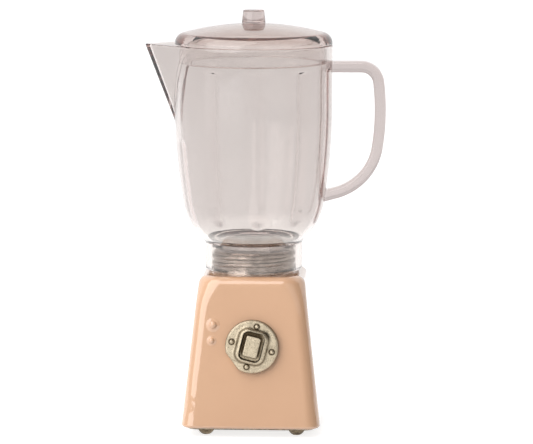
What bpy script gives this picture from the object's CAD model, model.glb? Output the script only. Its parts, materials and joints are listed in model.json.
import json
import math

import bpy
from mathutils import Matrix, Vector


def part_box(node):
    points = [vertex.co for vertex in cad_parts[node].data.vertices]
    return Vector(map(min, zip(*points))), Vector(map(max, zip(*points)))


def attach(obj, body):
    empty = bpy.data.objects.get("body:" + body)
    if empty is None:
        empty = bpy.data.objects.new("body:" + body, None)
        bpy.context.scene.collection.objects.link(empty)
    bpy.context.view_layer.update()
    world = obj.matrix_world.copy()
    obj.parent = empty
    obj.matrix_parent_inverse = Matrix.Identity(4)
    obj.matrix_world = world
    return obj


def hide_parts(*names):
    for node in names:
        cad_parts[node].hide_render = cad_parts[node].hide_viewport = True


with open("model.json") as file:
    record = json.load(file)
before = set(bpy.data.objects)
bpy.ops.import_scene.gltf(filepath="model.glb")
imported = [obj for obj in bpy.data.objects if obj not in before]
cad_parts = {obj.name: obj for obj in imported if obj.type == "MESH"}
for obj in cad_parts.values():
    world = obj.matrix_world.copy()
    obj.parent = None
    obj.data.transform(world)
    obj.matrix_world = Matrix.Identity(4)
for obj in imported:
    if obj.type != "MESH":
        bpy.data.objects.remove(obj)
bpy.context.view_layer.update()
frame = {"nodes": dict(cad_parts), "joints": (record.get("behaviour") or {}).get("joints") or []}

# Toy blender: its finishes, its clear jug with soft ribs and the boss's screw ridges, round the fixed frame.
# Metres. Patterns on the dial and the turned parts are worked out in millimetres.

nodes = frame["nodes"]
joints = {joint["name"]: joint for joint in frame["joints"]}
mm = 0.001

# Camera, as fitted to the photograph: pixels of its 533 x 444 frame, metres, degrees
image_width = 533
sensor_width = 36.0
focal_px = 2977.0
centre_column = 266.5
jug_axis_column = 253.7
camera_distance = 0.564
camera_height = 0.118
camera_pitch = 7.924
camera_azimuth = 3.25

# Where things turn, from the frame
jug_axis = Vector(joints["jug_turn"]["pos_m"])
dial_centre = Vector(joints["dial_turn"]["pos_m"])
dial_axis = Vector(joints["dial_turn"]["axis"])
dial_rest_turn = math.radians(-14.0)

# The clear plastic's tint in the jug's wall, the bottom and collar, the lid's skirt and dome, and solid bars
wall_tint = (0.737, 0.712, 0.70, 1)
bottom_tint = (0.86, 0.85, 0.83, 1)
skirt_tint = (0.99, 0.985, 0.98, 1)
dome_tint = (0.66, 0.58, 0.545, 1)
bar_tint = (0.585, 0.548, 0.541, 1)
lamp_tint = (0.93, 0.91, 0.905, 1)
haze_colour = (0.85, 0.75, 0.725, 1)
haze_density = 200.0
tint_low = 37.5 * mm
tint_high = 40 * mm
lid_tint_run = 1.0 * mm
clear_bounces = 32

# The jug's lines, as its solid has them but for the beak's reach and ridge, and softer ribs than the solid's
jug_radius = 15.0 * mm
jug_wall = 0.95 * mm
jug_floor = 1.0 * mm
rim_height = 73.6 * mm
rim_rounding = 0.2 * mm
flare_top = 62.0 * mm
neck_height = 35.9 * mm
bowl_radius = 13.7 * mm
neck_radius = 9.3 * mm
spigot_radius = 8.11 * mm
spigot_wall = 0.8 * mm
spigot_height = 0.7 * mm
corner_softness = 0.05 * mm
beak_reach = 21.2 * mm
beak_depth = 16.3 * mm
beak_root_sink = 0.1 * mm
beak_ridge_softness = math.radians(1.5)
rib_count = 10
rib_first_angle = math.radians(-83.5)
rib_half_width = 1.9 * mm
rib_swell = 0.34 * mm
rib_swell_at_beak = 0.1 * mm
rib_top = 69.2 * mm
rib_top_run = 0.3 * mm
rib_top_at_beak = 55.6 * mm
rib_low_end = 41.5 * mm
jug_steps_round = 420

# The boss's screw ridge
screw_pitch = 1.35 * mm
ridge_turns = 2.2
ridge_height = 0.42 * mm
ridge_depth = 0.3 * mm
ridge_start = 0.75 * mm
ridge_steps = 260

# The dial, in millimetres in its own plane: half sizes and corner of its oblong shapes
moat_shape = (2.05, 2.6, 1.2)
moat_shift_left = 0.15
moat_shift_up = 0.3
ring_shape = (2.95, 3.35, 1.9)
ring_outside = (3.3, 3.75, 2.1)
ring_inside = (2.0, 2.65, 1.0)
ring_rise = 0.8
pin_circle = 3.9


# Small helpers for node trees

def add(tree, kind, values=None, **settings):
    """A node with its settings, and its inputs set to numbers or linked from other sockets."""
    node = tree.nodes.new(kind)
    for name, value in settings.items():
        setattr(node, name, value)
    for key, value in (values or {}).items():
        socket = node.inputs[key]
        if isinstance(value, bpy.types.NodeSocket):
            tree.links.new(value, socket)
        else:
            socket.default_value = value
    return node


def calc(tree, operation, *values):
    """One step of arithmetic on numbers or sockets."""
    node = add(tree, "ShaderNodeMath", dict(enumerate(values)), operation=operation)
    return node.outputs[0]


def ramp(tree, value, low, high, start=0.0, end=1.0):
    """A smooth step from start to end while value goes from low to high."""
    values = {"Value": value, "From Min": low, "From Max": high, "To Min": start, "To Max": end}
    return add(tree, "ShaderNodeMapRange", values, interpolation_type="SMOOTHSTEP").outputs[0]


def blend_colours(tree, factor, first, second):
    node = tree.nodes.new("ShaderNodeMix")
    node.data_type = "RGBA"
    for index, value in ((0, factor), (6, first), (7, second)):
        if isinstance(value, bpy.types.NodeSocket):
            tree.links.new(value, node.inputs[index])
        else:
            node.inputs[index].default_value = value
    return node.outputs[2]


def noise(tree, vector, scale, detail=2.0, roughness=0.5):
    values = {"Vector": vector, "Scale": scale, "Detail": detail, "Roughness": roughness}
    return add(tree, "ShaderNodeTexNoise", values).outputs["Fac"]


def empty_material(name):
    material = bpy.data.materials.new(name)
    material.use_nodes = True
    material.node_tree.nodes.clear()
    return material, material.node_tree


def in_millimetres(tree, centre=(0, 0, 0), turn=(0, 0, 0)):
    """Object coordinates in millimetres about a centre, in a turned frame."""
    place = add(tree, "ShaderNodeTexCoord").outputs["Object"]
    values = {"Vector": place, "Location": centre, "Rotation": turn, "Scale": (mm, mm, mm)}
    return add(tree, "ShaderNodeMapping", values, vector_type="TEXTURE").outputs[0]


def bumped(tree, height, distance, strength=1.0):
    values = {"Height": height, "Distance": distance, "Strength": strength}
    return add(tree, "ShaderNodeBump", values).outputs[0]


def finish_surface(tree, values):
    """A principled surface as the whole material."""
    surface = add(tree, "ShaderNodeBsdfPrincipled", values)
    add(tree, "ShaderNodeOutputMaterial", {"Surface": surface.outputs[0]})
    return surface


def wear(node_name, material):
    """Gives a frame node its finish."""
    slots = nodes[node_name].material_slots
    for slot in slots:
        slot.material = material


# Finishes

def peach_enamel():
    """Glossy peach enamel on a die casting: faint cloudiness and the softest waviness."""
    material, tree = empty_material("peach_enamel")
    place = in_millimetres(tree)
    clouds = noise(tree, place, 0.12, 3.0)
    specks = noise(tree, place, 9.0, 2.0)
    colour = blend_colours(tree, clouds, (0.74, 0.445, 0.275, 1), (0.79, 0.485, 0.305, 1))
    waves = noise(tree, place, 0.55, 1.0)
    height = calc(tree, "ADD", waves, calc(tree, "MULTIPLY", specks, 0.03))
    finish_surface(tree, {
        "Base Color": colour,
        "Roughness": ramp(tree, specks, 0.3, 0.7, 0.03, 0.05),
        "IOR": 1.5,
        "Coat Weight": 1.0,
        "Coat Roughness": 0.02,
        "Coat IOR": 1.55,
        "Normal": bumped(tree, height, 0.006 * mm, 0.4),
    })
    return material


def rounded_box_distance(tree, x, y, half_x, half_y, corner):
    """Distance, in the dial's plane, outside a rounded rectangle; negative inside it."""
    across = calc(tree, "SUBTRACT", calc(tree, "ABSOLUTE", x), half_x - corner)
    along = calc(tree, "SUBTRACT", calc(tree, "ABSOLUTE", y), half_y - corner)
    out_x, out_y = (calc(tree, "MAXIMUM", value, 0.0) for value in (across, along))
    squares = calc(tree, "ADD", calc(tree, "MULTIPLY", out_x, out_x), calc(tree, "MULTIPLY", out_y, out_y))
    inside = calc(tree, "MINIMUM", calc(tree, "MAXIMUM", across, along), 0.0)
    return calc(tree, "SUBTRACT", calc(tree, "ADD", calc(tree, "SQRT", squares), inside), corner)


def distance_to(tree, x, y, centre_x, centre_y):
    dx = calc(tree, "SUBTRACT", x, centre_x)
    dy = calc(tree, "SUBTRACT", y, centre_y)
    squares = calc(tree, "ADD", calc(tree, "MULTIPLY", dx, dx), calc(tree, "MULTIPLY", dy, dy))
    return calc(tree, "SQRT", squares)


def dial_frame():
    """The turn from the dial's own plane, +Z outwards, to the object."""
    lean = Matrix.Rotation(math.acos(dial_axis.z), 4, "X")
    return (lean @ Matrix.Rotation(dial_rest_turn, 4, "Z")).to_euler("XYZ")


def dial_darkness(tree, place):
    """Where the dial's antiquing stayed dark: the moat, the ring's foot, the pin pockets and the rim."""
    x, y, z = add(tree, "ShaderNodeSeparateXYZ", {"Vector": place}).outputs
    left_of_middle = calc(tree, "ADD", x, moat_shift_left)
    above_middle = calc(tree, "SUBTRACT", y, moat_shift_up)
    moat = rounded_box_distance(tree, left_of_middle, above_middle, *moat_shape)
    in_moat = calc(tree, "MULTIPLY", ramp(tree, moat, 0.15, -0.45), ramp(tree, z, 1.7, 1.2))
    ring = rounded_box_distance(tree, x, y, *ring_shape)
    at_foot = calc(tree, "MULTIPLY", ramp(tree, calc(tree, "ABSOLUTE", ring), 0.32, 0.0, 0.0, 0.6),
                   ramp(tree, z, 1.5, 1.25))
    fold_x, fold_y = calc(tree, "ABSOLUTE", x), calc(tree, "ABSOLUTE", y)
    side_pins = distance_to(tree, fold_x, y, pin_circle, 0.0)
    end_pins = distance_to(tree, x, fold_y, 0.0, pin_circle)
    pins = calc(tree, "MINIMUM", side_pins, end_pins)
    at_pins = ramp(tree, pins, 0.8, 0.5)
    rim = calc(tree, "MULTIPLY", ramp(tree, distance_to(tree, x, y, 0.0, 0.0), 4.6, 4.95),
               ramp(tree, z, 1.25, 0.7))
    in_recess = calc(tree, "MAXIMUM", in_moat, at_foot)
    return calc(tree, "MAXIMUM", in_recess, calc(tree, "MAXIMUM", at_pins, rim))


def ring_swell(tree, place):
    """The worn roundness of the dial's raised ring: millimetres that it stands up towards its crest."""
    x, y, z = add(tree, "ShaderNodeSeparateXYZ", {"Vector": place}).outputs
    outside = rounded_box_distance(tree, x, y, *ring_outside)
    inside = rounded_box_distance(tree, x, y, *ring_inside)
    climb = ramp(tree, outside, 0.1, -1.1)
    fall = ramp(tree, inside, -0.1, 0.15)
    return calc(tree, "MULTIPLY", calc(tree, "MULTIPLY", climb, fall), ring_rise)


def antique_nickel(name, recessed):
    """Cast nickel brass with a sandy grain, dark where the antiquing lay in the recesses."""
    material, tree = empty_material(name)
    place = in_millimetres(tree, dial_centre, dial_frame())
    grain = noise(tree, place, 3.6, 3.0, 0.7)
    pits = ramp(tree, grain, 0.5, 0.3)
    stains = ramp(tree, noise(tree, place, 0.5, 2.0), 0.45, 0.7, 0.0, 0.3)
    darkness = calc(tree, "MAXIMUM", calc(tree, "MULTIPLY", pits, 0.6), stains)
    height = calc(tree, "MULTIPLY", grain, 0.14)
    if recessed:
        darkness = calc(tree, "MAXIMUM", darkness, dial_darkness(tree, place))
        height = calc(tree, "ADD", height, ring_swell(tree, place))
    colour = blend_colours(tree, darkness, (0.57, 0.485, 0.355, 1), (0.09, 0.065, 0.038, 1))
    finish_surface(tree, {
        "Base Color": colour,
        "Metallic": 1.0,
        "Roughness": ramp(tree, grain, 0.3, 0.7, 0.45, 0.24),
        "Normal": bumped(tree, height, mm, 0.9),
    })
    return material


def aged_bronze():
    """Dark antique bronze plating on the feet and the bottom cover."""
    material, tree = empty_material("aged_bronze")
    place = in_millimetres(tree)
    patches = noise(tree, place, 1.4, 3.0)
    dark, light = (0.12, 0.092, 0.062, 1), (0.30, 0.235, 0.155, 1)
    colour = blend_colours(tree, ramp(tree, patches, 0.35, 0.7), dark, light)
    finish_surface(tree, {
        "Base Color": colour,
        "Metallic": 0.9,
        "Roughness": ramp(tree, patches, 0.3, 0.7, 0.45, 0.28),
        "Normal": bumped(tree, noise(tree, place, 6.0, 2.0), 0.02 * mm, 0.5),
    })
    return material


def turned_metal():
    """Bare turned metal with the tool's fine rings and a little tarnish."""
    material, tree = empty_material("turned_metal")
    place = in_millimetres(tree, jug_axis)
    x, y, z = add(tree, "ShaderNodeSeparateXYZ", {"Vector": place}).outputs
    lathe = calc(tree, "ADD", distance_to(tree, x, y, 0.0, 0.0), z)
    rings = calc(tree, "SINE", calc(tree, "MULTIPLY", lathe, 34.0))
    tarnish = noise(tree, place, 0.9, 3.0)
    bright, tarnished = (0.40, 0.35, 0.315, 1), (0.25, 0.208, 0.18, 1)
    colour = blend_colours(tree, ramp(tree, tarnish, 0.3, 0.75), bright, tarnished)
    finish_surface(tree, {
        "Base Color": colour,
        "Metallic": 1.0,
        "Roughness": ramp(tree, tarnish, 0.3, 0.7, 0.14, 0.26),
        "Normal": bumped(tree, rings, 0.006 * mm, 0.6),
    })
    return material


def zinc_steel():
    """Plain zinc-plated steel of the hidden screw, clips and spring."""
    material, tree = empty_material("zinc_steel")
    place = in_millimetres(tree)
    spangle = noise(tree, place, 3.0, 2.0)
    finish_surface(tree, {
        "Base Color": blend_colours(tree, spangle, (0.42, 0.42, 0.43, 1), (0.58, 0.57, 0.55, 1)),
        "Metallic": 1.0,
        "Roughness": ramp(tree, spangle, 0.3, 0.7, 0.25, 0.4),
        "Normal": bumped(tree, spangle, 0.01 * mm, 0.4),
    })
    return material


def clear_plastic(name, low_tint, high_tint, low, high):
    """Clear moulded plastic whose faint pink-grey changes with height, with soft waves and scuffs."""
    material, tree = empty_material(name)
    place = in_millimetres(tree)
    level = add(tree, "ShaderNodeSeparateXYZ", {"Vector": place}).outputs["Z"]
    tint = blend_colours(tree, ramp(tree, level, low / mm, high / mm), low_tint, high_tint)
    waves = noise(tree, place, 0.35, 1.5)
    scuffs = noise(tree, place, 2.2, 3.0, 0.6)
    surface = add(tree, "ShaderNodeBsdfPrincipled", {
        "Base Color": tint,
        "Roughness": ramp(tree, scuffs, 0.35, 0.75, 0.0, 0.04),
        "IOR": 1.49,
        "Transmission Weight": 1.0,
        "Normal": bumped(tree, waves, 0.02 * mm, 0.4),
    })
    lamp_light = add(tree, "ShaderNodeBsdfTransparent", {"Color": lamp_tint})
    shadow_ray = add(tree, "ShaderNodeLightPath").outputs["Is Shadow Ray"]
    shaders = {0: shadow_ray, 1: surface.outputs[0], 2: lamp_light.outputs[0]}
    mixed = add(tree, "ShaderNodeMixShader", shaders)
    haze = add(tree, "ShaderNodeVolumeAbsorption", {"Color": haze_colour, "Density": haze_density})
    add(tree, "ShaderNodeOutputMaterial", {"Surface": mixed.outputs[0], "Volume": haze.outputs[0]})
    return material


# The clear jug

def arc_points(centre_r, centre_z, radius, start, end, steps):
    """Points (distance from the axis, height) along an arc, angles in radians."""
    angles = [start + (end - start) * step / steps for step in range(steps + 1)]
    return [(centre_r + radius * math.cos(a), centre_z + radius * math.sin(a)) for a in angles]


def bowl_and_flare():
    """Height of the bowl's centre, how far the flare starts above it, and the flare's radius."""
    bowl_centre = neck_height + math.sqrt(bowl_radius ** 2 - neck_radius ** 2)
    rise = flare_top - bowl_centre
    flare = (jug_radius ** 2 + rise ** 2 - bowl_radius ** 2) / (2 * (jug_radius - bowl_radius))
    return bowl_centre, rise, flare


def wall_line(inset, bottom, wall_steps, flare_steps, bowl_steps):
    """The jug's wall from the rim to its bottom corner, drawn in by an inset."""
    bowl_centre, rise, flare = bowl_and_flare()
    join = math.atan2(-rise, flare - jug_radius)
    foot = math.asin((bottom - bowl_centre) / (bowl_radius - inset))
    top = rim_height - (corner_softness if inset else rim_rounding)
    heights = [top + (flare_top - top) * step / wall_steps for step in range(wall_steps)]
    line = [(jug_radius - inset, height) for height in heights]
    line += arc_points(jug_radius - flare, flare_top, flare - inset, 0, join, flare_steps)[:-1]
    line += arc_points(0, bowl_centre, bowl_radius - inset, join, foot, bowl_steps)
    return line


def from_beak(angle):
    """How far an angle about the jug's axis is from the beak's ridge."""
    return abs((angle + 2 * math.pi) % (2 * math.pi) - math.pi)


def beak_distance(angle, height):
    """How far the beak's flank is from the axis, at an angle and a height."""
    side = math.acos(jug_radius / beak_reach)
    aside = min(math.hypot(from_beak(angle), beak_ridge_softness), side)
    flare = bowl_and_flare()[2]
    below = flare_top - (rim_height - beak_depth)
    root = jug_radius - flare + math.sqrt(flare ** 2 - below ** 2) - beak_root_sink
    slope = (jug_radius - root * math.cos(side)) / beak_depth
    return (jug_radius - slope * (rim_height - height)) / math.cos(side - aside)


def smooth_step(value, low, high):
    share = max(0.0, min(1.0, (value - low) / (high - low)))
    return share * share * (3 - 2 * share)


def rib_at(angle, radius, height):
    """How far a rib swells in from the wall: low and round across, flat on top, with a round low end."""
    spacing = 2 * math.pi / rib_count
    turn = (angle - rib_first_angle + spacing / 2) % spacing - spacing / 2
    across = turn * radius / rib_half_width
    down = max(0.0, rib_low_end - height) / rib_half_width
    away = min(1.0, math.hypot(across, down))
    beside = from_beak(angle) < spacing
    top, swell = (rib_top_at_beak, rib_swell_at_beak) if beside else (rib_top, rib_swell)
    return swell * math.cos(away * math.pi / 2) ** 2 * (1 - smooth_step(height, top - rib_top_run, top))


def plain_radius(angle, radius, height):
    return radius


def outer_radius(angle, radius, height):
    return max(radius, beak_distance(angle, height))


def inner_radius(angle, radius, height):
    share = (jug_radius - jug_wall) / jug_radius
    return max(radius - rib_at(angle, radius, height), share * beak_distance(angle, height))


def jug_angles():
    """Angles about the jug's axis, closest together at the beak's ridge."""
    shares = [2 * step / jug_steps_round - 1 for step in range(jug_steps_round)]
    return [math.pi + math.pi * (0.4 * share + 0.6 * share ** 3) for share in shares]


def jug_rings():
    """The jug's rings from the middle of its bottom, up outside, over the rim and down inside."""
    soft, inner_foot = corner_softness, spigot_radius - spigot_wall
    spigot_low = neck_height - spigot_height
    rings = []
    for radius, height in (
        (inner_foot - soft, neck_height),
        (inner_foot, neck_height - soft),
        (inner_foot, spigot_low + soft),
        (inner_foot + soft, spigot_low),
        (spigot_radius - soft, spigot_low),
        (spigot_radius, spigot_low + soft),
        (spigot_radius, neck_height - soft),
        (spigot_radius + soft, neck_height),
        (neck_radius - soft, neck_height),
    ):
        rings.append((plain_radius, radius, height, 0.0))
    for radius, height in reversed(wall_line(0.0, neck_height + soft, 32, 20, 24)):
        shape = outer_radius if height > neck_height + jug_floor else plain_radius
        rings.append((shape, radius, height, 0.0))
    for share in (0.5, 1.0):
        sweep = share * math.pi / 2
        inset = rim_rounding * (1 - math.cos(sweep))
        lift = rim_rounding * (math.sin(sweep) - 1)
        rings.append((outer_radius, jug_radius, rim_height + lift, inset))
    rings.append((inner_radius, jug_radius - jug_wall, rim_height, -soft))
    for radius, height in wall_line(jug_wall, neck_height + jug_floor + soft, 52, 26, 34):
        rings.append((inner_radius, radius, height, 0.0))
    rings.append((plain_radius, rings[-1][1] - soft, neck_height + jug_floor, 0.0))
    return rings


def clear_jug(plastic):
    """The clear vessel with its beak and its soft inner ribs, as one closed skin."""
    angles, rings = jug_angles(), jug_rings()
    points = [(jug_axis.x, jug_axis.y, rings[0][2])]
    for shape, radius, height, inset in rings:
        for angle in angles:
            distance = shape(angle, radius, height) - inset
            along_x, along_y = distance * math.cos(angle), distance * math.sin(angle)
            points.append((jug_axis.x + along_x, jug_axis.y + along_y, height))
    points.append((jug_axis.x, jug_axis.y, rings[-1][2]))
    count, last = len(angles), len(points) - 1
    faces = []
    for column in range(count):
        beside = (column + 1) % count
        faces.append((0, 1 + beside, 1 + column))
        for ring in range(len(rings) - 1):
            low, high = 1 + ring * count, 1 + (ring + 1) * count
            faces.append((low + column, low + beside, high + beside, high + column))
        top = 1 + (len(rings) - 1) * count
        faces.append((top + column, top + beside, last))
    mesh = bpy.data.meshes.new("clear_jug")
    mesh.from_pydata(points, [], faces)
    mesh.shade_smooth()
    mesh.materials.append(plastic)
    jug = bpy.data.objects.new("clear_jug", mesh)
    bpy.context.scene.collection.objects.link(jug)
    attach(jug, "jug_body")
    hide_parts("jug")


# Screw ridges

def named_input(tree, name, kind="NodeSocketFloat"):
    tree.interface.new_socket(name, in_out="INPUT", socket_type=kind)


def screw_ridge_tree():
    """A ridge that winds round the jug's axis, fading out at both ends."""
    tree = bpy.data.node_groups.new("screw_ridge", "GeometryNodeTree")
    for name in ("Radius", "Pitch", "Turns", "Bottom", "Height", "Depth"):
        named_input(tree, name)
    named_input(tree, "Steps", "NodeSocketInt")
    named_input(tree, "Material", "NodeSocketMaterial")
    tree.interface.new_socket("Geometry", in_out="OUTPUT", socket_type="NodeSocketGeometry")
    given = add(tree, "NodeGroupInput").outputs
    run = add(tree, "GeometryNodeCurvePrimitiveLine")
    run = add(tree, "GeometryNodeResampleCurve", {"Curve": run.outputs[0], "Count": given["Steps"]})
    share = add(tree, "GeometryNodeSplineParameter").outputs["Factor"]
    turned = calc(tree, "MULTIPLY", share, given["Turns"])
    angle = calc(tree, "MULTIPLY", turned, 2 * math.pi)
    along_x = calc(tree, "MULTIPLY", calc(tree, "COSINE", angle), given["Radius"])
    along_y = calc(tree, "MULTIPLY", calc(tree, "SINE", angle), given["Radius"])
    height = calc(tree, "ADD", calc(tree, "MULTIPLY", turned, given["Pitch"]), given["Bottom"])
    place = add(tree, "ShaderNodeCombineXYZ", {0: along_x, 1: along_y, 2: height}).outputs[0]
    helix = add(tree, "GeometryNodeSetPosition", {"Geometry": run.outputs[0], "Position": place})
    fade_in = calc(tree, "MULTIPLY", turned, 4.0)
    fade_out = calc(tree, "MULTIPLY", calc(tree, "SUBTRACT", given["Turns"], turned), 4.0)
    fade = calc(tree, "MINIMUM", calc(tree, "MINIMUM", fade_in, fade_out), 1.0)
    fade = calc(tree, "MAXIMUM", fade, 0.02)
    helix = add(tree, "GeometryNodeSetCurveRadius", {"Curve": helix.outputs[0], "Radius": fade})
    helix = add(tree, "GeometryNodeSetCurveNormal", {"Curve": helix.outputs[0]}, mode="Z_UP")
    crest = add(tree, "GeometryNodeCurvePrimitiveCircle", {"Resolution": 10, "Radius": 1.0})
    sizes = {0: given["Depth"], 1: given["Height"], 2: 1.0}
    size = add(tree, "ShaderNodeCombineXYZ", sizes).outputs[0]
    crest = add(tree, "GeometryNodeTransform", {"Geometry": crest.outputs[0], "Scale": size})
    ridge = add(tree, "GeometryNodeCurveToMesh",
                {"Curve": helix.outputs[0], "Profile Curve": crest.outputs[0], "Fill Caps": True})
    ridge = add(tree, "GeometryNodeSetShadeSmooth", {"Geometry": ridge.outputs[0]})
    whole = add(tree, "GeometryNodeRealizeInstances", {"Geometry": ridge.outputs[0]})
    coat = {"Geometry": whole.outputs[0], "Material": given["Material"]}
    painted = add(tree, "GeometryNodeSetMaterial", coat)
    add(tree, "NodeGroupOutput", {"Geometry": painted.outputs[0]})
    return tree


def grown(name, tree, values):
    """Runs a geometry tree with its inputs and gives its result as a plain mesh object."""
    seed_mesh = bpy.data.meshes.new(name + "_seed")
    seed = bpy.data.objects.new(name + "_seed", seed_mesh)
    bpy.context.scene.collection.objects.link(seed)
    modifier = seed.modifiers.new("grow", "NODES")
    modifier.node_group = tree
    for socket in tree.interface.items_tree:
        if socket.in_out == "INPUT" and socket.name in values:
            modifier[socket.identifier] = values[socket.name]
    bpy.context.view_layer.update()
    result = seed.evaluated_get(bpy.context.evaluated_depsgraph_get())
    mesh = bpy.data.meshes.new_from_object(result)
    mesh.name = name
    bpy.data.objects.remove(seed)
    piece = bpy.data.objects.new(name, mesh)
    bpy.context.scene.collection.objects.link(piece)
    return piece


def about_jug_axis(piece):
    """Moves a piece drawn about the Z axis to the jug's axis, in its mesh."""
    piece.data.transform(Matrix.Translation((jug_axis.x, jug_axis.y, 0)))


def boss_ridges(metal):
    """The screw ridge that winds round the boss under the collar."""
    boss_low, boss_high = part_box("threaded_boss")
    collar_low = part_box("jug_collar")[0]
    piece = grown("boss_ridges", screw_ridge_tree(), {
        "Radius": (boss_high.x - boss_low.x) / 2,
        "Pitch": screw_pitch,
        "Turns": ridge_turns,
        "Bottom": collar_low.z + ridge_start,
        "Height": ridge_height,
        "Depth": ridge_depth,
        "Steps": ridge_steps,
        "Material": metal,
    })
    about_jug_axis(piece)
    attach(piece, "base")


# Camera, floor and light

def photograph_camera():
    """The camera that took the photograph, placed about the jug's axis."""
    azimuth, pitch = math.radians(camera_azimuth), math.radians(camera_pitch)
    aside = math.atan((centre_column - jug_axis_column) / focal_px)
    camera_data = bpy.data.cameras.new("photograph_camera")
    camera_data.sensor_fit = "HORIZONTAL"
    camera_data.sensor_width = sensor_width
    camera_data.lens = focal_px * sensor_width / image_width
    camera_data.clip_start = 0.01
    camera = bpy.data.objects.new("photograph_camera", camera_data)
    bpy.context.scene.collection.objects.link(camera)
    camera.location = (
        jug_axis.x + camera_distance * math.sin(azimuth),
        jug_axis.y - camera_distance * math.cos(azimuth),
        camera_height,
    )
    camera.rotation_euler = (math.pi / 2 - pitch, 0, azimuth - aside)
    bpy.context.scene.camera = camera


def seen_directly(tree):
    """1 for rays from the camera, from a glossy surface or through glass."""
    rays = add(tree, "ShaderNodeLightPath").outputs
    direct = calc(tree, "MAXIMUM", rays["Is Camera Ray"], rays["Is Transmission Ray"])
    return direct, calc(tree, "MAXIMUM", direct, rays["Is Glossy Ray"])


def pale_floor():
    """A plain white floor that keeps a soft shadow."""
    size = 4.0
    mesh = bpy.data.meshes.new("floor")
    corners = [(-size, -size, 0), (size, -size, 0), (size, size, 0), (-size, size, 0)]
    mesh.from_pydata(corners, [], [(0, 1, 2, 3)])
    floor = bpy.data.objects.new("floor", mesh)
    bpy.context.scene.collection.objects.link(floor)
    material, tree = empty_material("floor_white")
    paint = add(tree, "ShaderNodeBsdfDiffuse", {"Color": (0.6, 0.6, 0.6, 1)})
    glow = add(tree, "ShaderNodeEmission", {"Color": (1, 1, 1, 1), "Strength": 0.76})
    both = add(tree, "ShaderNodeAddShader", {0: paint.outputs[0], 1: glow.outputs[0]})
    seen = seen_directly(tree)[1]
    mixed = add(tree, "ShaderNodeMixShader", {0: seen, 1: paint.outputs[0], 2: both.outputs[0]})
    add(tree, "ShaderNodeOutputMaterial", {"Surface": mixed.outputs[0]})
    mesh.materials.append(material)


def studio_world():
    """White all round where it is seen; a dim studio in front of it for reflections."""
    world = bpy.data.worlds.new("studio")
    bpy.context.scene.world = world
    world.use_nodes = True
    tree = world.node_tree
    tree.nodes.clear()
    way = add(tree, "ShaderNodeTexCoord").outputs["Generated"]
    x, y, z = add(tree, "ShaderNodeSeparateXYZ", {"Vector": way}).outputs
    behind = ramp(tree, y, 0.12, 0.22, 0.0, 1.0)
    front = ramp(tree, x, -0.2, 0.75, 0.42, 0.06)
    around = calc(tree, "MAXIMUM", behind, front)
    direct = seen_directly(tree)[0]
    level = calc(tree, "MAXIMUM", around, direct)
    sky = add(tree, "ShaderNodeBackground", {"Color": (1, 1, 1, 1), "Strength": level})
    add(tree, "ShaderNodeOutputWorld", {"Surface": sky.outputs[0]})


def soft_light(name, azimuth, elevation, distance, width, height, radiance):
    """A softbox: azimuth from the camera's side towards +X, elevation above the floor, in degrees."""
    turn, climb = math.radians(azimuth), math.radians(elevation)
    target = Vector((jug_axis.x, jug_axis.y, 0.04))
    level = math.cos(climb)
    way = Vector((math.sin(turn) * level, -math.cos(turn) * level, math.sin(climb)))
    lamp = bpy.data.lights.new(name, "AREA")
    lamp.shape = "RECTANGLE"
    lamp.size, lamp.size_y = width, height
    lamp.energy = radiance * math.pi * width * height
    light = bpy.data.objects.new(name, lamp)
    bpy.context.scene.collection.objects.link(light)
    light.location = target + way * distance
    light.rotation_euler = way.to_track_quat("Z", "Y").to_euler()


def studio_lights():
    soft_light("window_light", azimuth=-42, elevation=38, distance=0.6,
               width=0.66, height=0.94, radiance=2.3)
    soft_light("fill_light", azimuth=38, elevation=25, distance=0.7,
               width=0.5, height=0.5, radiance=0.5)


# Putting it together

def dress_frame():
    enamel, bronze, steel, turned = peach_enamel(), aged_bronze(), zinc_steel(), turned_metal()
    plastic = clear_plastic("clear_plastic", bottom_tint, wall_tint, tint_low, tint_high)
    lid_top = rim_height + lid_tint_run
    lid_plastic = clear_plastic("clear_plastic_lid", skirt_tint, dome_tint, rim_height, lid_top)
    thick_plastic = clear_plastic("clear_plastic_thick", bar_tint, bar_tint, 0.0, rim_height)
    wear("base_shell", enamel)
    wear("base_plate", bronze)
    wear("foot_screws", bronze)
    wear("threaded_boss", turned)
    wear("boss_screw", steel)
    recessed = antique_nickel("antique_nickel_dial", True)
    wear("dial_plate", recessed)
    wear("dial_hub", recessed)
    nickel = antique_nickel("antique_nickel", False)
    for name in ("dial_pins", "button"):
        wear(name, nickel)
    for name in ("dial_clip", "button_spring", "button_clip"):
        wear(name, steel)
    for name in ("jug", "jug_collar"):
        wear(name, plastic)
    wear("lid", lid_plastic)
    for name in ("jug_handle", "lid_knob"):
        wear(name, thick_plastic)
    return turned, plastic


def let_light_wander():
    """Lets light bounce along inside the clear walls as often as it does in real plastic."""
    light_paths = bpy.context.scene.cycles
    light_paths.max_bounces = clear_bounces
    light_paths.glossy_bounces = clear_bounces
    light_paths.transmission_bounces = clear_bounces
    light_paths.transparent_max_bounces = clear_bounces


turned, plastic = dress_frame()
clear_jug(plastic)
boss_ridges(turned)
let_light_wander()
photograph_camera()
pale_floor()
studio_world()
studio_lights()
bpy.context.scene.view_settings.view_transform = "Standard"
